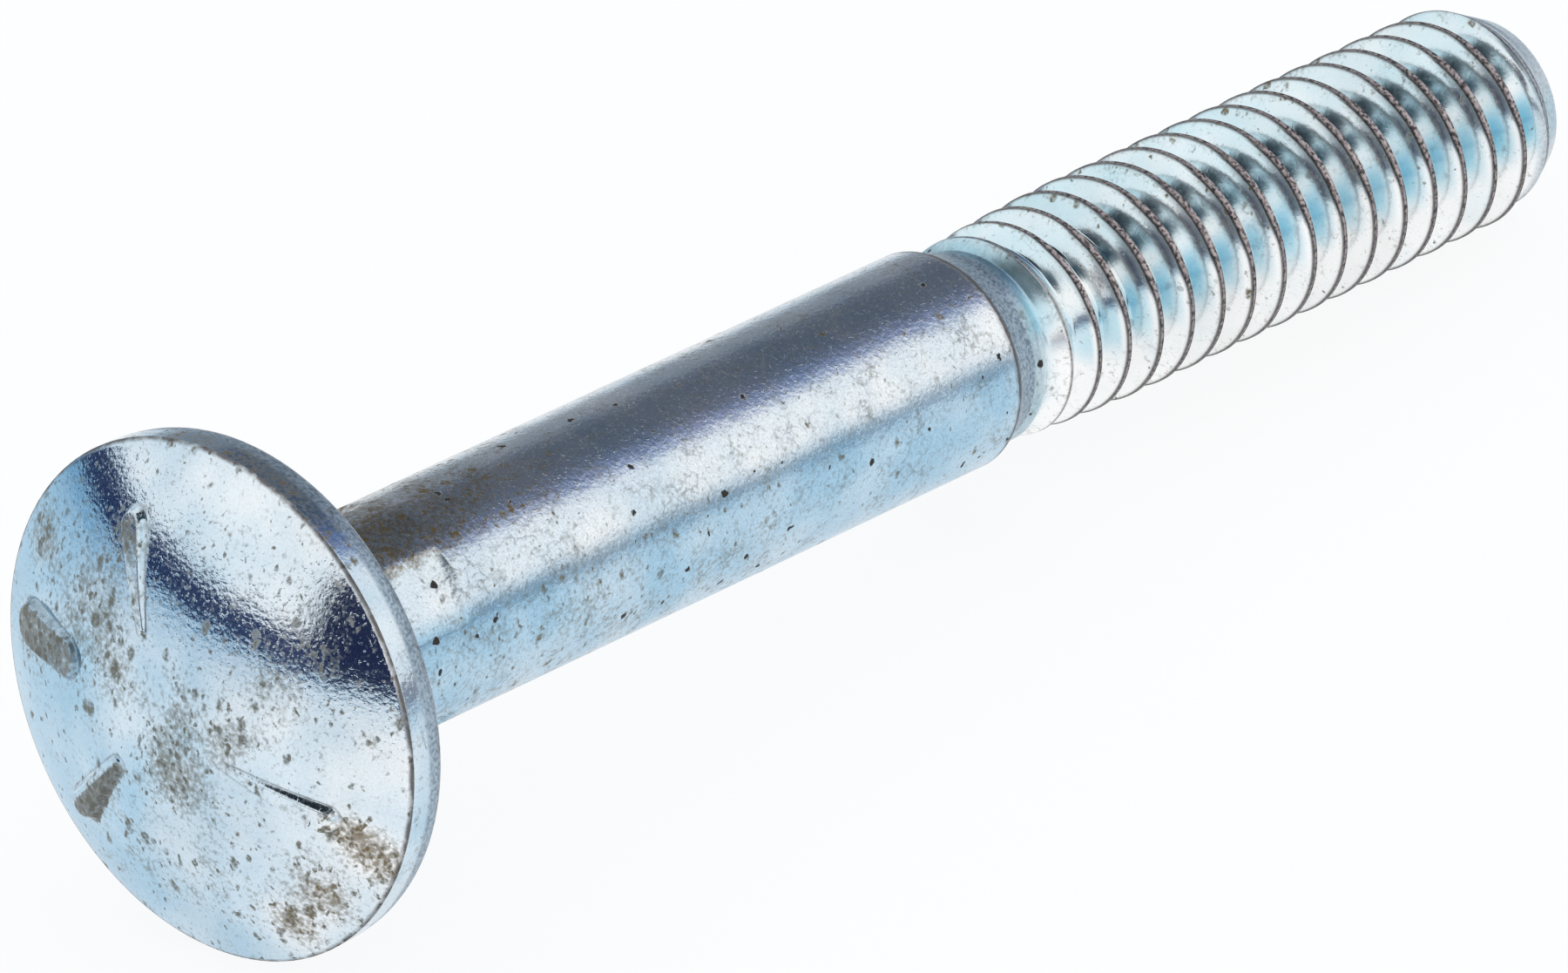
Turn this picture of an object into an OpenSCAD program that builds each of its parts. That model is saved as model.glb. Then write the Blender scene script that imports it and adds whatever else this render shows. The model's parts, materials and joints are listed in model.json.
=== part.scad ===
/* [Head] */
// Width of the domed head across its sharp front edge
head_d = 14.3; // [13:0.1:15.5]
// Height of the dome above its edge
dome_h = 1.9; // [1.2:0.05:2.6]
// Thickness of the rim between the dome and the bearing face
rim_t = 1.3; // [0.8:0.05:1.6]
// How much smaller the rim's radius is at its back edge
rim_taper = 0.04; // [0:0.01:0.25]
// Rounding of the rim's back edge
rim_round = 0.2; // [0.1:0.05:0.3]

/* [Head marks] */
// Where each raised bar starts, from the middle of the dome
bar_start = 2.4; // [1.8:0.1:3]
// Where each raised bar ends, from the middle of the dome
bar_end = 5.5; // [4.5:0.1:6]
// Width of a bar at its outer end
bar_w = 0.65; // [0.4:0.05:1]
// Width of a bar at its inner end
bar_tip_w = 0.2; // [0.15:0.05:0.4]
// Height of a bar at its outer end
bar_h = 0.3; // [0.15:0.05:0.4]
// Turn of the first bar about the axis
bar_turn = 39; // [0:1:119]
// Distance of the plain oval pad from the middle of the dome
pad_at = 4.7; // [4:0.1:5]
// Length of the oval pad along its radius
pad_l = 2.6; // [1.8:0.1:3]
// Width of the oval pad
pad_w = 1.1; // [0.8:0.1:1.5]
// Height of the oval pad at its outer end
pad_h = 0.35; // [0.2:0.05:0.5]
// Turn of the oval pad about the axis
pad_turn = 94; // [85:1:105]

/* [Shank] */
// Diameter of the plain shank
shank_d = 6.2; // [6:0.05:6.4]
// Length from the bearing face to the end of the bolt
bolt_l = 50.2; // [48:0.1:52]
// Length of the full shank, from the bearing face to the shoulder
shank_l = 26.9; // [25:0.1:27.5]
// Fillet between the bearing face and the shank
fillet_r = 0.3; // [0.1:0.05:0.4]
// Distance across the flats of the neck under the head
neck_flats = 5.85; // [5.6:0.05:6]
// How far the neck's flats reach below the bearing face
neck_l = 5.45; // [3:0.05:7]
// Turn of the neck's flats about the axis
neck_turn = 50; // [0:1:89]

/* [Thread] */
// Rise of the thread in one turn
pitch = 1.27; // [1.2:0.01:1.4]
// Diameter over the crests
crest_d = 6.16; // [5.9:0.02:6.2]
// Diameter at the roots
root_d = 4.64; // [4.5:0.02:5]
// Diameter of the plain neck between the shoulder and the thread
blank_d = 5.42; // [5.3:0.02:5.6]
// Length of the tapered shoulder
shoulder_l = 0.95; // [0.8:0.05:1.2]
// Width of the flat on a crest
crest_w = 0.16; // [0.1:0.02:0.2]
// Length over which the thread grows to its full depth
run_in = 5; // [3:0.5:8]
// Distance of the first crest from the start of the thread, on the side of the third flat
crest_at = 0.83; // [0.6:0.01:1.2]
// Straight steps in one turn
steps = 36; // [24:12:48]

/* [Point] */
// Length of the tapered point
point_l = 1.5; // [1.2:0.1:2]
// Length of the plain end of the point, beyond the thread
end_l = 0.5; // [0.4:0.05:0.7]
// Diameter of the end face
end_d = 4.72; // [4.4:0.02:5.4]

/* [Hidden] */
head_r = head_d / 2;
shank_r = shank_d / 2;
// The dome is part of a ball, turned as a row of short cones
dome_r = (head_r * head_r + dome_h * dome_h) / (2 * dome_h);
dome_z = dome_r - dome_h - rim_t;
dome_steps = 12;
// How deep a mark's root reaches below its top
mark_root = 1;
// The flats start a little below the fillet
flats_gap = 0.1;
// The thread starts a little beyond the shoulder and ends at the plain end of the point
thread_gap = 0.1;
thread_z0 = shank_l + shoulder_l + thread_gap;
thread_z1 = bolt_l - end_l;
// The thread's straight steps lie just outside the round ends that they meet
seam = 0.005;
outside = 1 / cos(180 / steps);
blank_r = blank_d / 2 * outside + seam;
// Least distance of an edge of the thread from the thread's two ends
edge_gap = 0.05;
// Length over which the thread fades into the point, and where it has faded
fade_l = 1;
fade_gap = 0.1;
// The solid middle of the bolt lies this far inside the roots
core_gap = 0.2;
point_slope = (crest_d - end_d) / 2 / point_l;
// The thread's four edges in one turn: foot, crest, crest and foot, as heights from the crest's middle
flank = (crest_d - root_d) / 2 * tan(30);
edge_z = [-crest_w / 2 - flank, -crest_w / 2, crest_w / 2, crest_w / 2 + flank];
edge_r = [root_d, crest_d, crest_d, root_d] / 2;
// The bolt lies on the last crest and on the front or the rounded back edge of its rim
rest_z = bolt_l - point_l;
front_slope = atan((head_r - crest_d / 2) / (rest_z + rim_t));
round_r = head_r - rim_taper - rim_round;
round_slope = atan((round_r - crest_d / 2) / (rest_z + rim_round));
back_slope = round_slope + asin(rim_round * cos(round_slope) / (rest_z + rim_round));
tilt = max(front_slope, back_slope);
lift = rest_z * sin(tilt) + crest_d / 2 * cos(tilt);
back_x = dome_z * cos(tilt) - dome_r;
front_x = bolt_l * cos(tilt) + end_d / 2 * sin(tilt);
$fn = 96;

// Half of the head's section: the dome in short steps, the tapered rim and its rounded back edge
module head_section() {
  back_r = round_r + rim_round;
  edge_turn = asin(head_r / dome_r);
  dome = [for (k = [0.5:dome_steps])
    let (turn = edge_turn * k / dome_steps)
    [dome_r * sin(turn), dome_z - dome_r * cos(turn)]];
  polygon(concat([[0, dome[0][1]]], dome, [[head_r, -rim_t], [back_r, -rim_round], [0, -rim_round]]));
  translate([0, -rim_round])
    square([round_r, rim_round]);
  translate([round_r, -rim_round])
    circle(rim_round);
}

// A mark that stands on the dome and gets taller towards the rim, from its plan shape
module mark(turn, from, to, height) {
  rise = dome_r - sqrt(dome_r * dome_r - from * from);
  fall = dome_r - sqrt(dome_r * dome_r - to * to);
  slope = atan((fall - height - rise) / (to - from));
  rotate([0, 0, turn])
    translate([from, 0, rise - rim_t - dome_h])
      rotate([0, -slope, 0])
        linear_extrude(mark_root)
          children();
}

// One of the three raised bars on the dome
module bar(turn) {
  reach = bar_end - bar_start;
  mark(turn, bar_start, bar_end, bar_h)
    polygon([[0, -bar_tip_w / 2], [reach, -bar_w / 2], [reach, bar_w / 2], [0, bar_tip_w / 2]]);
}

// The plain oval pad on the dome
module pad() {
  half = (pad_l - pad_w) / 2;
  mark(pad_turn, pad_at - pad_l / 2, pad_at + pad_l / 2, pad_h)
    translate([pad_l / 2, 0]) {
      square([2 * half, pad_w], center = true);
      translate([-half, 0])
        circle(pad_w / 2);
      translate([half, 0])
        circle(pad_w / 2);
    }
}

// The domed head with its marks
module head() {
  rotate_extrude()
    head_section();
  for (k = [0:2])
    bar(bar_turn + 120 * k);
  pad();
}

// Half of the shank's section: fillet, shank, tapered shoulder and the plain neck of the thread
module shank_section() {
  square([shank_r, shank_l]);
  polygon([[0, shank_l], [shank_r, shank_l], [blank_d / 2, shank_l + shoulder_l],
           [blank_d / 2, thread_z0], [0, thread_z0]]);
  difference() {
    square([shank_r + fillet_r, fillet_r]);
    translate([shank_r + fillet_r, fillet_r])
      circle(fillet_r);
  }
}

// The shank, with four shallow flats under the head that keep it from turning in its hole
module shank() {
  flats_z = fillet_r + flats_gap;
  difference() {
    rotate_extrude()
      shank_section();
    for (k = [0:3])
      rotate([0, 0, neck_turn + 90 * k])
        translate([neck_flats / 2, -shank_r, flats_z])
          cube([shank_r, shank_d, neck_l - flats_z]);
  }
}

// The solid middle that the shank, the thread and the point share
module core() {
  translate([0, 0, shank_l])
    cylinder(h = bolt_l - end_l / 2 - shank_l, d = root_d - 2 * core_gap);
}

// Height of edge n in column i, counted from two turns before the first crest
function edge_height(i, n) =
  thread_z0 + crest_at + pitch * (floor(n / 4) - 2 + i / steps) + edge_z[n % 4];

// How far along the stretch from height a to height b the height z is, from 0 to 1
function along(z, a, b) = min(max((z - a) / (b - a), 0), 1);

// How far the thread has grown at height z, and how far it has faded into the point, from 0 to 1
function grown(z) = sqrt(along(z - thread_gap, thread_z0, thread_z0 + run_in));
function faded(z) =
  let (t = along(z + fade_gap, thread_z1 - fade_l, thread_z1))
  t * t * (3 - 2 * t);

// Radius of the tapered point at height z, and of the straight steps around it
function point_r(z) = end_d / 2 + (bolt_l - z) * point_slope;
function point_steps(z) = point_r(z) * outside + seam;

// Radius of edge n at height z
function edge_radius(n, z) =
  let (full = min(blank_r + (edge_r[n % 4] - blank_r) * grown(z), point_steps(z)))
  full + (point_steps(z) - full) * faded(z);

// First and last edge of column i that lie within the thread
function first_edge(i, n = 0) =
  edge_height(i, n) > thread_z0 + edge_gap ? n : first_edge(i, n + 1);
function last_edge(i, n = 0) =
  edge_height(i, n + 1) > thread_z1 - edge_gap ? n : last_edge(i, n + 1);

// The points of column i, from the start of the thread to its end
function column(i) =
  let (turn = neck_turn + 180 + 360 * i / steps)
  [for (p = concat(
      [[blank_r, thread_z0]],
      [for (n = [first_edge(i):last_edge(i)]) let (z = edge_height(i, n)) [edge_radius(n, z), z]],
      [[point_steps(thread_z1), thread_z1]]))
    [p[0] * cos(turn), p[0] * sin(turn), p[1]]];

// The right-hand thread, as columns of points around the axis that the thread's edges climb through
module thread() {
  columns = [for (i = [0:steps - 1]) column(i)];
  starts = [for (i = 0, s = 0; i < steps; s = s + len(columns[i]), i = i + 1) s];
  function index(i, n) =
    let (m = i < steps ? n : n + 4, c = i % steps)
    starts[c] + m - first_edge(c) + 1;
  function lowest(i) = i < steps ? first_edge(i) : first_edge(0) - 4;
  function highest(i) = i < steps ? last_edge(i) : last_edge(0) - 4;
  function bottom(i) = starts[i % steps];
  function top(i) = starts[i % steps] + len(columns[i % steps]) - 1;
  strips = [for (i = [0:steps - 1], n = [lowest(i):highest(i + 1) - 1], half = [0, 1])
    half == 0
      ? [index(i, n), index(i, n + 1), index(i + 1, n)]
      : [index(i + 1, n), index(i, n + 1), index(i + 1, n + 1)]];
  feet = [for (i = [0:steps - 1])
    concat([bottom(i), index(i, lowest(i))],
           [for (n = [lowest(i):-1:lowest(i + 1)]) index(i + 1, n)],
           [bottom(i + 1)])];
  heads = [for (i = [0:steps - 1])
    concat([top(i + 1), index(i + 1, highest(i + 1))],
           [for (n = [highest(i + 1):highest(i)]) index(i, n)],
           [top(i)])];
  caps = [[for (i = [0:steps - 1]) bottom(i)], [for (i = [steps - 1:-1:0]) top(i)]];
  polyhedron([for (c = columns) each c], concat(strips, feet, heads, caps));
}

// The plain end of the tapered point
module point() {
  translate([0, 0, thread_z1])
    cylinder(h = end_l, r1 = point_r(thread_z1), d2 = end_d);
}

// The bolt, lying on its head's rim and on the end of its thread
module bolt() {
  color("#c9d3dc")
    translate([-(back_x + front_x) / 2, 0, lift])
      rotate([0, 90 + tilt, 0]) {
        head();
        shank();
        core();
        thread();
        point();
      }
}

bolt();
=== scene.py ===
import json
import math

import bmesh
import bpy
from mathutils import Matrix, Vector


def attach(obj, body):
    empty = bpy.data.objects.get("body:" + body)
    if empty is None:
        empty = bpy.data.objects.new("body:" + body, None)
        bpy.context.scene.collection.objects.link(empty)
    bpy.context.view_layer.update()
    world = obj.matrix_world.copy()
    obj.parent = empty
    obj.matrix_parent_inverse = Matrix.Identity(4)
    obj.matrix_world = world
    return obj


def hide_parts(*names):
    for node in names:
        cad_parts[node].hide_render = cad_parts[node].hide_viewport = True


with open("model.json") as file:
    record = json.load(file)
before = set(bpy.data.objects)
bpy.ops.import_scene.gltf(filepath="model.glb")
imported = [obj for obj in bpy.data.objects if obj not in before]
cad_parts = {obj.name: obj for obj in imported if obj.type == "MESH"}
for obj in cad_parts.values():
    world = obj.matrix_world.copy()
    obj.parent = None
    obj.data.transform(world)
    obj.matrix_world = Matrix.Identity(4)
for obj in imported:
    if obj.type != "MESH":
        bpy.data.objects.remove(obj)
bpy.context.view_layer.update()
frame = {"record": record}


# The bolt is one piece of steel wire. Its domed head is forged, its thread is rolled, and it is zinc plated.
# The blank is spun round the axis: dome, sharp front edge, rim, back of the head, fillet, shank and shoulder.
# Sizes are millimetres from the back of the head, with +Z along the axis towards the tip.
head_r = 7.15
dome_h = 1.9
rim_t = 1.3
edge_round = 0.05
fillet_r = 0.3
shank_r = 3.1
shank_l = 26.9
shoulder_l = 0.95
shoulder_bow = 1.15
corner_in, corner_l = 0.02, 0.01
blank_r = 2.71
thread_z0 = 27.95
bolt_l = 50.2

dome_r = (head_r ** 2 + dome_h ** 2) / (2 * dome_h)
dome_z = dome_r - dome_h - rim_t
edge_turn = math.degrees(math.asin(head_r / dome_r))
short_of_edge = 0.2
seam = 0.08
dome_steps, edge_steps, fillet_steps, shoulder_steps, turn_steps = 64, 4, 8, 10, 144


def arc(middle, radius, start, end, steps):
    """Points (r, z) on an arc round a middle, with angles in degrees from the r axis."""
    turns = [math.radians(start + (end - start) * k / steps) for k in range(steps + 1)]
    return [(middle[0] + radius * math.cos(t), middle[1] + radius * math.sin(t)) for t in turns]


# The rim tapers a little and rolls over into the back: how far inside the head's radius, and where along.
# The shank's rings stand close together where the flats end and where the shoulder starts.
rim_curve = [(0.002, -1.2), (0.004, -1.12), (0.008, -0.95), (0.014, -0.72), (0.024, -0.58), (0.044, -0.45),
             (0.067, -0.33), (0.1, -0.23), (0.145, -0.13), (0.195, -0.06), (0.245, -0.015), (0.3, 0)]
shank_rings = [0.4, 0.5, 0.65, 1.5, 3, 4.5, 5.1, 5.2, 5.24, 5.27, 5.3, 5.33, 5.36, 5.39, 5.42, 5.45, 5.48,
               5.55, 5.7, 8, 12, 16, 20, 24, 26, 26.6, 26.8, 26.84, 26.87]
profile = arc((0, dome_z), dome_r, -90, edge_turn - 90 - short_of_edge, dome_steps)
profile += arc((head_r - edge_round, edge_round - rim_t), edge_round, edge_turn - 90, 0, edge_steps)
profile += [(head_r - inset, z) for inset, z in rim_curve]
profile += arc((shank_r + fillet_r, fillet_r), fillet_r, 270, 180, fillet_steps)
profile += [(shank_r, z) for z in shank_rings]
profile += [(shank_r - corner_in / 4, shank_l - corner_l), (shank_r - corner_in, shank_l + corner_l)]
for k in range(1, shoulder_steps + 1):
    t = k / shoulder_steps
    r = blank_r + (shank_r - corner_in - blank_r) * (1 - t) ** shoulder_bow
    profile.append((r, shank_l + corner_l + (shoulder_l - corner_l) * t))
profile.append((blank_r, thread_z0 - seam / 2))

body = bmesh.new()
chain = [body.verts.new((r, 0, z)) for r, z in profile]
edges = [body.edges.new(pair) for pair in zip(chain, chain[1:])]
bmesh.ops.spin(body, geom=chain + edges, cent=(0, 0, 0), axis=(0, 0, 1), dvec=(0, 0, 0),
               angle=2 * math.pi, steps=turn_steps, use_merge=True)
bmesh.ops.remove_doubles(body, verts=body.verts, dist=1e-5)

# Four shallow flats are pressed into the neck under the head, and end in a short slope.
flat_half = 5.85 / 2
flat_turn = math.radians(50)
flat_start = 0.15
flat_slope = (5.24, 5.45)
for v in body.verts:
    if fillet_r < v.co.z < flat_slope[1]:
        turn = (math.atan2(v.co.y, v.co.x) - flat_turn + math.pi / 4) % (math.pi / 2) - math.pi / 4
        flat_r = min(shank_r, flat_half / math.cos(turn))
        to_end = (flat_slope[1] - v.co.z) / (flat_slope[1] - flat_slope[0])
        depth = min(1, to_end, (v.co.z - fillet_r) / flat_start)
        scale = 1 - depth * (1 - flat_r / shank_r)
        v.co.x *= scale
        v.co.y *= scale


# Three raised bars and a plain oval pad are struck on the dome. They grow towards the rim and end round.
# Each has its turn round the axis, where it starts and ends, its half widths and its heights there, and the
# width of its soft wall.
bar_reach, bar_halves, bar_heights = (2.4, 5.5), (0.06, 0.33), (0.06, 0.3)
marks = [(math.radians(turn), bar_reach, bar_halves, bar_heights, wall)
         for turn, wall in ((39.5, 0.22), (157.5, 0.12), (282, 0.12))]
marks.append((math.radians(94), (3.4, 6.0), (0.5, 0.55), (0.12, 0.35), 0.15))
mark_margin = 0.12
mark_cuts = 5
dome_end = -rim_t - 0.05


def smooth(t):
    """A soft step from 0 to 1."""
    t = min(max(t, 0), 1)
    return t * t * (3 - 2 * t)


def dome_fall(r):
    """How far the dome has fallen away at a distance from the axis."""
    return dome_r - math.sqrt(dome_r ** 2 - r ** 2)


def on_mark(x, y, turn, reach, halves):
    """How far along a mark a place in plan lies, as a share, and how deep inside the mark's outline."""
    s = x * math.cos(turn) + y * math.sin(turn)
    t = y * math.cos(turn) - x * math.sin(turn)
    along = min(max(s, reach[0] + halves[0]), reach[1] - halves[1])
    share = (along - reach[0]) / (reach[1] - reach[0])
    return share, halves[0] + (halves[1] - halves[0]) * share - math.hypot(s - along, t)


def mark_height(x, y):
    """How far the marks stand up from the dome at a place in plan."""
    tallest = 0
    for turn, reach, halves, heights, wall in marks:
        share, inside = on_mark(x, y, turn, reach, halves)
        top = heights[0] + (heights[1] - heights[0]) * share
        tallest = max(tallest, top * smooth(inside / wall + 1))
    return tallest


fine = set()
for f in body.faces:
    middle = f.calc_center_median()
    for turn, reach, halves, heights, wall in marks:
        inside = on_mark(middle.x, middle.y, turn, reach, halves)[1]
        if middle.z < dome_end and inside > -wall - mark_margin:
            fine.update(f.edges)
bmesh.ops.subdivide_edges(body, edges=list(fine), cuts=mark_cuts, use_grid_fill=True)
for v in body.verts:
    r = math.hypot(v.co.x, v.co.y)
    if v.co.z < dome_end and r > 1e-4:
        v.co.z = -rim_t - dome_h + dome_fall(r) - mark_height(v.co.x, v.co.y)


# The thread is rolled: right-hand, with straight flanks, rounded roots and narrow crests. It grows over its
# first turns, whose crests lie late. One pitch of its section climbs one turn round the axis, and that turn
# is copied along the bolt. The point cuts the last turns off at a taper.
pitch = 1.27
crest_r = 3.08
crest_half = 0.06
crest_round = 0.03
crest_dip = 0.015
flank_angle = math.radians(30)
flank_rings = (0.06, 0.14, 0.35, 0.7)
root_round = 0.2
root_steps = 5
crest_turn = math.radians(230)
crest_z = 28.78
thread_steps = 96
turns_before, turns_spare = 2, 3
run_in_z, run_in_l = thread_z0 + 0.1, 5
late, late_l, late_rounds = 0.42, 3.8, 6
point_l = 1.5
end_r = 2.36
end_bevel = 0.12
fade = (48.6, 49.6)

flank_top = (crest_r - crest_round, crest_half + crest_round)
sharp_root = flank_top[0] - (pitch / 2 - flank_top[1]) / math.tan(flank_angle)
root_middle = (sharp_root + root_round / math.sin(flank_angle), pitch / 2)
root = arc(root_middle, root_round, -90 - math.degrees(flank_angle), -180, root_steps)
flank = (root[0][0] - flank_top[0], root[0][1] - flank_top[1])
section = [(crest_r - crest_dip, 0), (crest_r, crest_half), flank_top]
section += [(flank_top[0] + flank[0] * t, flank_top[1] + flank[1] * t) for t in flank_rings]
section += root
section += [(r, pitch - z) for r, z in reversed(section[:-1])]

thread = bmesh.new()
start = Matrix.Translation((0, 0, crest_z - turns_before * pitch)) @ Matrix.Rotation(crest_turn, 4, "Z")
chain = [thread.verts.new(start @ Vector((r, 0, z))) for r, z in section]
edges = [thread.edges.new(pair) for pair in zip(chain, chain[1:])]
bmesh.ops.spin(thread, geom=chain + edges, cent=(0, 0, 0), axis=(0, 0, 1), dvec=(0, 0, pitch / thread_steps),
               angle=2 * math.pi, steps=thread_steps)
one_turn = thread.verts[:] + thread.edges[:] + thread.faces[:]
for k in range(1, math.ceil((bolt_l - thread_z0) / pitch) + turns_spare):
    copy = bmesh.ops.duplicate(thread, geom=one_turn)["geom"]
    copied = [g for g in copy if isinstance(g, bmesh.types.BMVert)]
    bmesh.ops.translate(thread, verts=copied, vec=(0, 0, k * pitch))
bmesh.ops.remove_doubles(thread, verts=thread.verts, dist=1e-4)


def point_r(z):
    """Radius of the tapered point."""
    return end_r + (bolt_l - z) * (crest_r - end_r) / point_l


def lag(z):
    """How far the first crests lie nearer the tip than an even pitch would put them."""
    return late * (1 - smooth((z - thread_z0) / late_l))


for v in thread.verts:
    even_z = v.co.z
    for k in range(late_rounds):
        v.co.z = even_z + lag(v.co.z)
    r = math.hypot(v.co.x, v.co.y)
    grown = math.sqrt(min(max((v.co.z - run_in_z) / run_in_l, 0), 1))
    full = min(blank_r + (r - blank_r) * grown, point_r(v.co.z))
    full += (point_r(v.co.z) - full) * smooth((v.co.z - fade[0]) / (fade[1] - fade[0]))
    v.co.x *= full / r
    v.co.y *= full / r
for z, side in ((thread_z0, -1), (bolt_l - end_bevel, 1)):
    bmesh.ops.bisect_plane(thread, geom=thread.verts[:] + thread.edges[:] + thread.faces[:], dist=1e-5,
                           plane_co=(0, 0, z), plane_no=(0, 0, side), clear_outer=True)
tip_edges = [e for e in thread.edges if e.is_boundary and all(v.co.z > fade[1] for v in e.verts)]
tip = bmesh.ops.edgeloop_fill(thread, edges=tip_edges)["faces"]
bmesh.ops.inset_region(thread, faces=tip, thickness=end_bevel, depth=0)
bmesh.ops.translate(thread, verts=tip[0].verts[:], vec=(0, 0, end_bevel))

# The spun blank and the rolled thread are joined where the thread starts.
thread_mesh = bpy.data.meshes.new("rolled_thread")
thread.to_mesh(thread_mesh)
thread.free()
body.from_mesh(thread_mesh)
bpy.data.meshes.remove(thread_mesh)
bmesh.ops.bridge_loops(body, edges=[e for e in body.edges if e.is_boundary])
bmesh.ops.remove_doubles(body, verts=body.verts, dist=1e-5)
bmesh.ops.recalc_face_normals(body, faces=body.faces)
for f in body.faces:
    f.smooth = True

# Each place on the skin keeps how dirty, brown, filmed, satin, worn or bare it is, and where painted
# reflection and painted shade lie, for the material to read.
# Spots on the dome are seen from the front, as shares of the head's radius: right, up, spread and strength.
# A mark's darkening has its strength, how far it is turned aside, and how far it reaches past the mark's top.
front_turn = math.radians(248.9)
shown_turn = math.radians(231)
grey_spots = [(-0.58, 0.65, 0.1, 0.75), (-0.32, 0.42, 0.22, 0.55), (-0.18, 0.18, 0.16, 0.45),
              (-0.07, 0.68, 0.08, 0.7), (0, -0.18, 0.15, 0.85), (-0.62, -0.33, 0.09, 0.3),
              (-0.42, -0.24, 0.09, 0.4), (0.13, 0.02, 0.1, 0.5), (0.32, -0.08, 0.09, 0.55),
              (0.52, 0.08, 0.16, 0.3), (0.72, 0.24, 0.13, 0.2), (-0.75, 0.25, 0.12, 0.4),
              (0.85, -0.13, 0.04, 0.6), (-0.3, -0.55, 0.25, 0.16), (0.1, -0.5, 0.25, 0.14)]
brown_spots = [(0.68, -0.46, 0.07, 0.75), (0.25, -0.82, 0.1, 0.7), (0.45, -0.7, 0.11, 0.8),
               (0.72, -0.58, 0.1, 0.8)]
mark_darkening = ((0.8, 0.04, 0.1), (0.35, 0, 0), (0.1, 0, 0), (0.8, 0, 0))
dome_flecks, shank_flecks, crest_flecks, valley_flecks = 0.22, 0.1, 0.3, 0.04
first_crest_z, neck_bare_z, first_growth_z, neck_end_z = 28.1, 28.5, 28.6, 29.2
satin_end_z, point_z = 30.5, 48.7
valley_r, rim_shade_r = 2.9, 6.6
names = ("dirt", "brown", "film_and_reflection", "teal", "satin", "grain", "edge", "crest", "crest_edge", "bare_and_shade")
layers = {name: body.verts.layers.float.new(name) for name in names}


def band(value, start, end, fade_in, fade_out):
    """1 between two places, with a soft step at each end."""
    return smooth((value - start) / fade_in) * smooth((end - value) / fade_out)


def ridge(value, middle, spread):
    """1 in the middle of a soft line, falling to 0 on both sides."""
    return math.exp(-((value - middle) / spread) ** 2)


def spot_sum(spots, right, up):
    """How strongly a list of soft spots covers a place on the dome."""
    return sum(strong * ridge(math.hypot(right - x, up - y), 0, spread) for x, y, spread, strong in spots)


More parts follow.
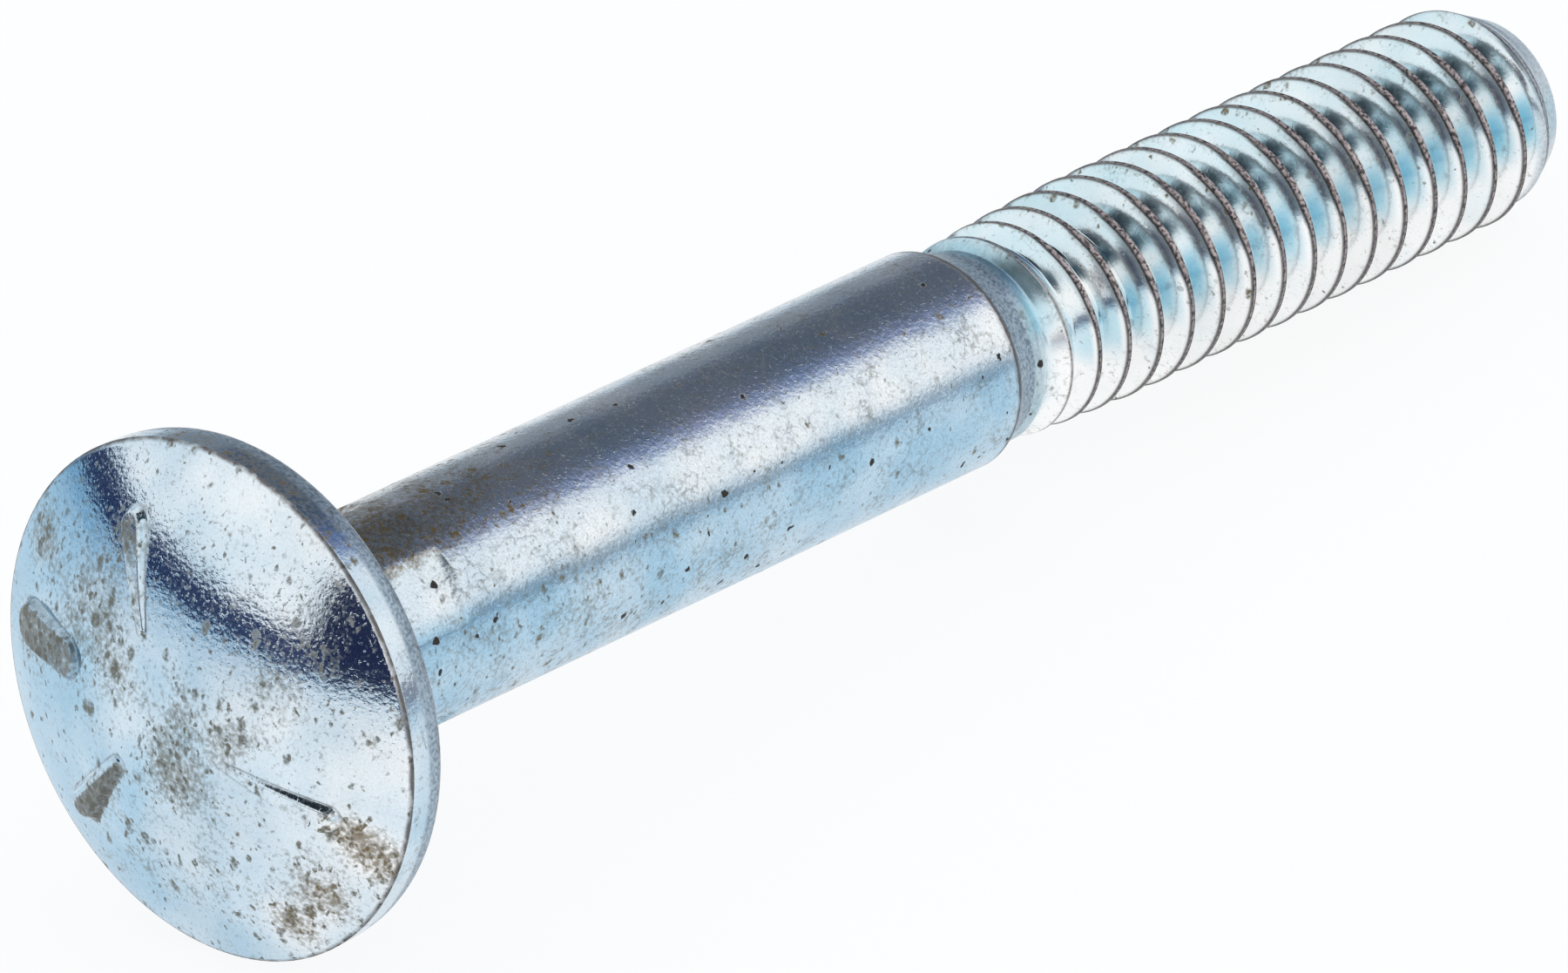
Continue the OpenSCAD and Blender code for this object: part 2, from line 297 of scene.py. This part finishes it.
for v in body.verts:
    r, turn, z = math.hypot(v.co.x, v.co.y), math.atan2(v.co.y, v.co.x), v.co.z
    skin = dict.fromkeys(names, 0)
    # Degrees round the bolt, down from the bright band that faces the viewer.
    below = math.degrees(math.remainder(turn - shown_turn, 2 * math.pi))
    low = band(below, 6, 150, 14, 40)
    upper = band(-below, 12, 120, 10, 60)
    if z < -rim_t + edge_round:
        right = r / head_r * math.cos(front_turn - turn)
        up = r / head_r * math.sin(front_turn - turn)
        skin["brown"] = min(1, spot_sum(brown_spots, right, up))
        skin["dirt"] = dome_flecks + spot_sum(grey_spots, right, up) + skin["brown"]
        # Thin dark lines of painted shade follow the head's edge, each mark's foot, and the wall of the last
        # mark, the pad. Each mark's top is darkened too, with dirt colour and with that painted shade.
        skin["edge"] = smooth((r - head_r + 0.1) / 0.08)
        for (mark_turn, reach, halves, heights, wall), (darkening, aside, past) in zip(marks, mark_darkening):
            inside = on_mark(v.co.x, v.co.y, mark_turn, reach, halves)[1]
            darkened = on_mark(v.co.x, v.co.y, mark_turn - aside, reach, halves)[1] + past
            darkening *= smooth(darkened / 0.1 + 0.5)
            skin["dirt"] += darkening
            skin["edge"] = max(skin["edge"], 0.5 * ridge(inside, -wall, 0.05), 0.5 * darkening)
        skin["edge"] = max(skin["edge"], 0.6 * ridge(inside, -0.07, 0.09))
        # The film thins towards the right of the dome: a painted reflection that leaves the left bluer. Dirt
        # and brown thin it too.
        skin["film_and_reflection"] = 0.7 - 0.45 * right - 0.2 * (skin["dirt"] - dome_flecks) - 0.4 * skin["brown"]
        skin["grain"] = 0.45
    elif z <= 0:
        # The rim and the back of the head. The rim's back edge is painted in the bare colour, with a dark
        # line, as painted shade.
        skin["dirt"] = shank_flecks + 0.35 * upper
        skin["brown"] = 0.4 + 0.6 * upper
        skin["film_and_reflection"] = 0.6
        skin["satin"] = 0.5
        skin["grain"] = 0.5
        skin["bare_and_shade"] = 0.9 * smooth((z + 0.75) / 0.2) * smooth((r - rim_shade_r) / 0.3)
        skin["edge"] = 0.42 * ridge(z, -0.2, 0.18)
    elif z < thread_z0:
        # The shank is dirtier near the head, and its lower side takes more film as painted reflection. The
        # shoulder is bare, and starts at a dark line of painted shade.
        skin["dirt"] = shank_flecks + 0.75 * smooth((12 - z) / 8) * upper + 0.15 * low * band(z, 1, 24, 3, 12)
        skin["brown"] = 0.4 + 0.6 * upper
        skin["film_and_reflection"] = 0.3 + 0.6 * low
        skin["satin"] = 1
        skin["grain"] = 0.8
        skin["bare_and_shade"] = 0.95 * smooth((z - shank_l) / 0.04)
        skin["edge"] = 1.5 * ridge(z, shank_l, 0.09) + 0.42 * ridge(z, -0.2, 0.18)
    else:
        # How far a place lies from the nearest crest, along the bolt.
        even_z = z - lag(z)
        climb = ((even_z - crest_z) / pitch - (turn - crest_turn) / (2 * math.pi) + 0.5) % 1 - 0.5
        off = abs(climb) * pitch
        # The crests are worn, most where they face the viewer, with dark lines of painted shade along both
        # sides.
        shown = smooth((even_z - first_crest_z) / 0.2)
        grown = smooth((even_z - first_growth_z) / 1.5)
        wide = grown * (0.05 + 0.04 * band(below, -45, 24, 20, 18))
        skin["crest"] = shown * smooth((0.05 + wide - off) / 0.03)
        skin["crest_edge"] = shown * ridge(off, 0.025 + wide, 0.025)
        near_crest = smooth((0.25 - off) / 0.1) * (1 - 0.6 * low)
        skin["dirt"] = valley_flecks + (crest_flecks - valley_flecks) * near_crest
        skin["brown"] = 0.6
        skin["grain"] = 0.15
        # The neck and the point are bare. The film is strongest in the valleys, where it is partly painted
        # reflection: bluer below the bright band and thinner at it. Outside the valleys the film is thinner
        # on the lower side.
        neck = smooth((neck_end_z - z) / 0.8)
        skin["bare_and_shade"] = 0.6 * smooth((z - point_z) / 0.3) * smooth((r - point_r(z) + 0.14) / 0.1)
        skin["bare_and_shade"] += 0.4 * smooth((neck_bare_z - z) / 0.4) + 0.4 * neck * band(-below, 0, 150, 20, 40)
        valley = grown * smooth((valley_r - r) / 0.14) * band(below, -70, 50, 30, 20)
        skin["film_and_reflection"] = 0.5 * (1 - low) * (1 - valley) + 0.5 * neck
        skin["film_and_reflection"] += valley * (0.5 + 0.3 * smooth((below - 6) / 12) - 0.3 * ridge(below, -1, 9))
        skin["teal"] = 1
        skin["satin"] = 0.25 + 0.75 * smooth((satin_end_z - z) / 2)
    for name in names:
        v[layers[name]] = skin[name]

# The bolt lies as its record says: the back of the head and the axis give its place.
face = next(m for m in frame["record"]["mounts"] if m["name"] == "bearing_face")
axis = Vector(face["axis"])
across = Vector((0, 1, 0))
down = across.cross(axis)
place = Matrix((down, across, axis)).transposed().to_4x4()
place.translation = Vector((face["pos_m"][0], 0, face["pos_m"][2]))
bmesh.ops.transform(body, matrix=place @ Matrix.Scale(0.001, 4), verts=body.verts)
mesh = bpy.data.meshes.new("zinc_bolt")
body.to_mesh(mesh)
body.free()
bolt = bpy.data.objects.new("zinc_bolt", mesh)
bpy.context.scene.collection.objects.link(bolt)


def linear(colour):
    """An sRGB hex colour as the linear colour that a shader takes."""
    parts = [int(colour[k:k + 2], 16) / 255 for k in (1, 3, 5)]
    return (*[c / 12.92 if c <= 0.04045 else ((c + 0.055) / 1.055) ** 2.4 for c in parts], 1)


def add(tree, kind, inputs=None, **settings):
    """Adds a node with its settings, and fills its inputs with values or links."""
    made = tree.nodes.new(kind)
    for name, value in settings.items():
        setattr(made, name, value)
    for name, value in (inputs or {}).items():
        if isinstance(value, bpy.types.NodeSocket):
            tree.links.new(value, made.inputs[name])
        else:
            made.inputs[name].default_value = value
    return made


# Bright zinc plate over forged steel, with a blue passivated film: a mirror that a fine grain breaks up.
# Veins, grey and brown flecks, small dark pits, worn crests and bare places lie over it, with dark lines of
# painted shade; where the film is thicker it carries painted reflection colour.
# Patterns are sized in millimetres. The plate's own grain is too fine to show, so it is drawn coarser.
zinc = bpy.data.materials.new("bright_zinc_plate")
zinc.use_nodes = True
tree = zinc.node_tree
tree.nodes.clear()
tone_mm, spot_mm, wave_mm, patch_mm, vein_mm, fleck_mm = 3.2, 2.4, 1.6, 0.9, 0.6, 0.36
bend_mm, grain_mm, speck_mm, frost_mm, pit_mm = 0.24, 0.16, 0.1, 0.06, 0.8
bend_m = 0.0003
where = add(tree, "ShaderNodeTexCoord").outputs["Object"]
read = {name: add(tree, "ShaderNodeAttribute", attribute_name=name).outputs["Fac"] for name in names}
noise = {}
for size, detail in ((tone_mm, 2.0), (spot_mm, 2.0), (wave_mm, 1.0), (patch_mm, 3.0), (fleck_mm, 3.0),
                     (grain_mm, 2.0), (speck_mm, 1.0), (frost_mm, 1.0)):
    noise[size] = add(tree, "ShaderNodeTexNoise", {"Vector": where, "Scale": 1000 / size,
                                                   "Detail": detail}).outputs["Fac"]
bend = add(tree, "ShaderNodeTexNoise", {"Vector": where, "Scale": 1000 / bend_mm, "Detail": 2.0})
bent = add(tree, "ShaderNodeVectorMath", {0: bend.outputs["Color"], 1: (bend_m, bend_m, bend_m), 2: where},
           operation="MULTIPLY_ADD").outputs[0]
streak = add(tree, "ShaderNodeVectorMath", {0: bent, 1: (1, 1, 0.6)}, operation="MULTIPLY").outputs[0]
speck = add(tree, "ShaderNodeMapRange", {"Value": noise[speck_mm], "From Min": 0.6, "From Max": 0.74},
            interpolation_type="SMOOTHSTEP").outputs[0]
rub = add(tree, "ShaderNodeMapRange", {"Value": noise[speck_mm], "From Min": 0.35,
                                       "From Max": 0.6}).outputs[0]

# Flecks of dirt in two sizes, bigger and more of them where the skin is dirtier, with a grainy cover.
rare = add(tree, "ShaderNodeMath", {0: read["dirt"], 1: -1.0, 2: 0.95}, operation="MULTIPLY_ADD").outputs[0]
blots = []
for size in (fleck_mm, fleck_mm / 2.2):
    cells = add(tree, "ShaderNodeTexVoronoi", {"Vector": streak, "Scale": 1000 / size})
    chance = add(tree, "ShaderNodeSeparateColor", {0: cells.outputs["Color"]}).outputs[0]
    spread = add(tree, "ShaderNodeMapRange", {"Value": chance, "From Min": rare, "From Max": 1.15,
                                              "To Max": 0.7}).outputs[0]
    within = add(tree, "ShaderNodeMath", {0: spread, 1: cells.outputs["Distance"]},
                 operation="SUBTRACT").outputs[0]
    blot = add(tree, "ShaderNodeMapRange", {"Value": within, "From Min": -0.05, "From Max": 0.2,
                                            "To Max": 0.95}, interpolation_type="SMOOTHSTEP")
    blots.append(blot.outputs[0])
fleck = add(tree, "ShaderNodeMath", {0: blots[0], 1: blots[1]}, operation="MAXIMUM").outputs[0]
grainy = add(tree, "ShaderNodeMapRange", {"Value": rub, "To Min": 0.45, "To Max": 1.0}).outputs[0]
fleck = add(tree, "ShaderNodeMath", {0: fleck, 1: grainy}, operation="MULTIPLY").outputs[0]

# Thin veins in the satin plate, here and there.
vein = add(tree, "ShaderNodeTexVoronoi", {"Vector": bent, "Scale": 1000 / vein_mm},
           feature="DISTANCE_TO_EDGE")
vein = add(tree, "ShaderNodeMapRange", {"Value": vein.outputs["Distance"], "From Min": 0.06,
                                        "From Max": 0.0}).outputs[0]
seldom = add(tree, "ShaderNodeMapRange", {"Value": noise[patch_mm], "From Min": 0.45, "From Max": 0.65,
                                          "To Max": 0.55}).outputs[0]
vein = add(tree, "ShaderNodeMath", {0: vein, 1: seldom}, operation="MULTIPLY").outputs[0]
vein = add(tree, "ShaderNodeMath", {0: vein, 1: read["satin"]}, operation="MULTIPLY").outputs[0]

# A thin cloud of dust, broken up by the grain.
cloud = add(tree, "ShaderNodeMath", {0: noise[patch_mm], 1: read["dirt"]}, operation="ADD").outputs[0]
for part, weight in ((noise[speck_mm], 1.2), (read["satin"], 0.22), (noise[grain_mm], 1.6)):
    cloud = add(tree, "ShaderNodeMath", {0: part, 1: weight, 2: cloud}, operation="MULTIPLY_ADD").outputs[0]
cloud = add(tree, "ShaderNodeMapRange", {"Value": cloud, "From Min": 2.3, "From Max": 3.1,
                                         "To Max": 0.75}).outputs[0]

# Broken dark lines of painted shade along edges, and small pits in the satin plate.
edge_shade_line = add(tree, "ShaderNodeMath", {0: noise[fleck_mm], 1: read["edge"]}, operation="MULTIPLY").outputs[0]
edge_shade_line = add(tree, "ShaderNodeMapRange", {"Value": edge_shade_line, "From Min": 0.1, "From Max": 0.5,
                                        "To Max": 0.85}).outputs[0]
pit_cells = add(tree, "ShaderNodeTexVoronoi", {"Vector": bent, "Scale": 1000 / pit_mm})
pit_chance = add(tree, "ShaderNodeSeparateColor", {0: pit_cells.outputs["Color"]}).outputs[0]
pit_size = add(tree, "ShaderNodeMapRange", {"Value": pit_chance, "From Min": 0.2, "From Max": 1.0,
                                            "To Min": 0.0, "To Max": 0.17}).outputs[0]
pit = add(tree, "ShaderNodeMath", {0: pit_size, 1: pit_cells.outputs["Distance"]},
          operation="SUBTRACT").outputs[0]
pit = add(tree, "ShaderNodeMapRange", {"Value": pit, "From Min": 0.0, "From Max": 0.03}).outputs[0]
pit = add(tree, "ShaderNodeMath", {0: pit, 1: read["satin"]}, operation="MULTIPLY").outputs[0]

# The plate under its film, whose share also carries painted reflection colour. A Mix node takes two numbers
# at inputs 2 and 3, and two colours at 6 and 7.
film_and_reflection = add(tree, "ShaderNodeMix", {0: read["teal"], 6: linear("#a6cbe2"), 7: linear("#acd9e8")},
           data_type="RGBA").outputs[2]
blue = add(tree, "ShaderNodeMath", {0: noise[spot_mm], 1: read["film_and_reflection"]}, operation="ADD").outputs[0]
blue = add(tree, "ShaderNodeMapRange", {"Value": blue, "From Min": 0.5, "From Max": 1.5}).outputs[0]
colour = add(tree, "ShaderNodeMix", {0: blue, 6: linear("#fbfcfc"), 7: film_and_reflection}, data_type="RGBA").outputs[2]
tone = add(tree, "ShaderNodeMapRange", {"Value": noise[tone_mm], "From Min": 0.35, "From Max": 0.65,
                                        "To Min": 0.92, "To Max": 1.05}).outputs[0]
frost = add(tree, "ShaderNodeMapRange", {"Value": noise[frost_mm], "From Min": 0.3, "From Max": 0.7,
                                         "To Min": 0.86, "To Max": 1.12}).outputs[0]
frost = add(tree, "ShaderNodeMix", {0: read["grain"], 2: tone, 3: frost}).outputs[0]
colour = add(tree, "ShaderNodeMix", {0: 1.0, 6: colour, 7: frost}, data_type="RGBA",
             blend_type="MULTIPLY").outputs[2]
rough = add(tree, "ShaderNodeMapRange", {"Value": read["satin"], "To Min": 0.1, "To Max": 0.25}).outputs[0]
metal = 1.0

# What lies over it, from below: where, in which colour, how rough and how metallic.
soil = add(tree, "ShaderNodeMix", {0: read["brown"], 6: linear("#68695c"), 7: linear("#735e2e")},
           data_type="RGBA").outputs[2]
uneven = add(tree, "ShaderNodeMapRange", {"Value": noise[speck_mm], "From Min": 0.35, "From Max": 0.65,
                                          "To Min": 0.45, "To Max": 1.35}).outputs[0]
soil = add(tree, "ShaderNodeMix", {0: 1.0, 6: soil, 7: uneven}, data_type="RGBA",
           blend_type="MULTIPLY").outputs[2]
stuck = add(tree, "ShaderNodeMapRange", {"Value": read["satin"], "To Min": 0.35, "To Max": 0.85}).outputs[0]
worn = add(tree, "ShaderNodeMix", {0: rub, 6: linear("#4a4444"), 7: linear("#c8bcbc")},
           data_type="RGBA").outputs[2]
bare_and_shade = add(tree, "ShaderNodeMix", {0: rub, 6: linear("#73889a"), 7: linear("#b0c2d0")},
           data_type="RGBA").outputs[2]
# The dark lines along edges and along the crests' sides are painted shade, and so is the bare colour on the
# rim's back edge.
for mask, tint, dull, metallic in (
        (vein, linear("#78828a"), 0.4, 0.8), (cloud, soil, 0.28, stuck), (fleck, soil, 0.5, stuck),
        (read["crest"], worn, 0.4, 0.4), (read["bare_and_shade"], bare_and_shade, 0.45, 0.75),
        (edge_shade_line, linear("#463c38"), 0.5, 0.6), (read["crest_edge"], linear("#26262a"), 0.5, 0.6),
        (pit, linear("#302c29"), 0.6, 0.3)):
    colour = add(tree, "ShaderNodeMix", {0: mask, 6: colour, 7: tint}, data_type="RGBA").outputs[2]
    rough = add(tree, "ShaderNodeMix", {0: mask, 2: rough, 3: dull}).outputs[0]
    metal = add(tree, "ShaderNodeMix", {0: mask, 2: metal, 3: metallic}).outputs[0]

# Waves, grain and specks stand up from the plate, and pits go into it, by so many metres.
normal = None
for relief, high in ((noise[wave_mm], 0.00003), (noise[grain_mm], 0.000014), (speck, 0.000005),
                     (pit, -0.00001)):
    raised = add(tree, "ShaderNodeBump", {"Strength": read["grain"], "Distance": abs(high), "Height": relief},
                 invert=high < 0)
    if normal:
        tree.links.new(normal, raised.inputs["Normal"])
    normal = raised.outputs["Normal"]
shader = add(tree, "ShaderNodeBsdfPrincipled", {"Base Color": colour, "Metallic": metal, "Roughness": rough,
                                                "Normal": normal})
add(tree, "ShaderNodeOutputMaterial", {"Surface": shader.outputs["BSDF"]})
mesh.materials.append(zinc)
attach(bolt, "root")
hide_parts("bolt")


# The table is a plain sheet of white paper that the bolt lies on. It looks white to the camera and in the
# metal, a little bluer in the metal away from the bolt, and it keeps the bolt's shadow.
table_r = 0.2
table_glow = 0.88
near_r, far_r = 0.03, 0.11
table_mesh = bpy.data.meshes.new("table")
sheet = bmesh.new()
bmesh.ops.create_circle(sheet, cap_ends=True, segments=96, radius=table_r)
sheet.to_mesh(table_mesh)
sheet.free()
table = bpy.data.objects.new("table", table_mesh)
bpy.context.scene.collection.objects.link(table)
paper = bpy.data.materials.new("white_paper")
paper.use_nodes = True
tree = paper.node_tree
tree.nodes.clear()
ray = add(tree, "ShaderNodeLightPath")
seen = add(tree, "ShaderNodeMath", {0: ray.outputs["Is Camera Ray"], 1: ray.outputs["Is Glossy Ray"]},
           operation="ADD").outputs[0]
lift = add(tree, "ShaderNodeMath", {0: seen, 1: table_glow}, operation="MULTIPLY").outputs[0]
along = add(tree, "ShaderNodeVectorMath", {0: add(tree, "ShaderNodeTexCoord").outputs["Object"],
                                           1: (0.6, 1, 1)}, operation="MULTIPLY").outputs[0]
away = add(tree, "ShaderNodeVectorMath", {0: along}, operation="LENGTH").outputs["Value"]
away = add(tree, "ShaderNodeMapRange", {"Value": away, "From Min": near_r, "From Max": far_r}).outputs[0]
away = add(tree, "ShaderNodeMath", {0: away, 1: ray.outputs["Is Glossy Ray"]},
           operation="MULTIPLY").outputs[0]
sheen = add(tree, "ShaderNodeMix", {0: away, 6: linear("#ffffff"), 7: linear("#9fc0d6")},
            data_type="RGBA").outputs[2]
glow = add(tree, "ShaderNodeEmission", {"Color": sheen, "Strength": lift})
matt = add(tree, "ShaderNodeBsdfDiffuse", {"Color": linear("#5c5f62")})
both = add(tree, "ShaderNodeAddShader", {0: matt.outputs[0], 1: glow.outputs[0]})
add(tree, "ShaderNodeOutputMaterial", {"Surface": both.outputs[0]})
table_mesh.materials.append(paper)

# A white light tent stands round the table. The bright metal shows the dark gap above the table's edge, and
# the tent's openings. Each has its colour, azimuth and elevation, and the half angles where it starts to fade
# and ends, in degrees.
gap_rise, gap_fall = (-0.2, -0.1), (0.1, 0.05)
openings = [("#e8f4fa", 278, 4, 16, 30), ("#868c95", 44, 14, 8, 27), ("#5f76b0", 16, 39, 22, 31),
            ("#4c5462", 22, 36, 18, 27), ("#2c4452", 211, 45, 9, 17), ("#22404e", 249, 58, 9, 17),
            ("#22404e", 286, 60, 6, 16), ("#1d262e", 0, 90, 14, 22), ("#1d262e", 190, 66, 8, 16),
            ("#1c2746", 189, 8, 11, 16)]
tent = bpy.data.worlds.new("light_tent")
bpy.context.scene.world = tent
tent.use_nodes = True
tree = tent.node_tree
tree.nodes.clear()
way = add(tree, "ShaderNodeTexCoord").outputs["Generated"]
parts = add(tree, "ShaderNodeSeparateXYZ", {0: way})
rise = add(tree, "ShaderNodeMapRange", {"Value": parts.outputs["Z"], "From Min": gap_rise[0],
                                        "From Max": gap_rise[1]}, interpolation_type="SMOOTHSTEP").outputs[0]
fall = add(tree, "ShaderNodeMapRange", {"Value": parts.outputs["Z"], "From Min": gap_fall[0],
                                        "From Max": gap_fall[1]}, interpolation_type="SMOOTHSTEP").outputs[0]
darker = add(tree, "ShaderNodeMapRange", {"Value": parts.outputs["X"], "From Min": 0.3, "From Max": -0.5,
                                          "To Min": 0.9, "To Max": 1.0}).outputs[0]
gap = add(tree, "ShaderNodeMath", {0: rise, 1: fall}, operation="MULTIPLY").outputs[0]
gap = add(tree, "ShaderNodeMath", {0: gap, 1: darker}, operation="MULTIPLY").outputs[0]
shade = add(tree, "ShaderNodeMix", {0: gap, 6: linear("#ffffff"), 7: linear("#26345a")},
            data_type="RGBA").outputs[2]
for tint, azimuth, elevation, inner, outer in openings:
    a, e = math.radians(azimuth), math.radians(elevation)
    aim = (math.cos(e) * math.cos(a), math.cos(e) * math.sin(a), math.sin(e))
    near = add(tree, "ShaderNodeVectorMath", {0: way, 1: aim}, operation="DOT_PRODUCT").outputs["Value"]
    spot = add(tree, "ShaderNodeMapRange", {
        "Value": near, "From Min": math.cos(math.radians(outer)), "From Max": math.cos(math.radians(inner))},
        interpolation_type="SMOOTHSTEP").outputs[0]
    shade = add(tree, "ShaderNodeMix", {0: spot, 6: shade, 7: linear(tint)}, data_type="RGBA").outputs[2]
ray = add(tree, "ShaderNodeLightPath")
shown = add(tree, "ShaderNodeMix", {0: ray.outputs["Is Glossy Ray"], 6: linear("#ffffff"), 7: shade},
            data_type="RGBA").outputs[2]
sky = add(tree, "ShaderNodeBackground", {"Color": shown, "Strength": 1.0})
add(tree, "ShaderNodeOutputWorld", {"Surface": sky.outputs[0]})

# The camera looks down on the bolt past its head, through a long lens.
camera = bpy.data.cameras.new("camera")
camera.sensor_width = 36
camera.lens = 426.73
camera.clip_end = 10
viewer = bpy.data.objects.new("camera", camera)
viewer.location = (-0.316848, -0.282978, 0.260389)
forward = Vector((0.6350993, 0.5720635, -0.5190269))
viewer.rotation_euler = forward.to_track_quat("-Z", "Y").to_euler()
bpy.context.scene.collection.objects.link(viewer)
bpy.context.scene.camera = viewer
bpy.context.scene.view_settings.view_transform = "Standard"
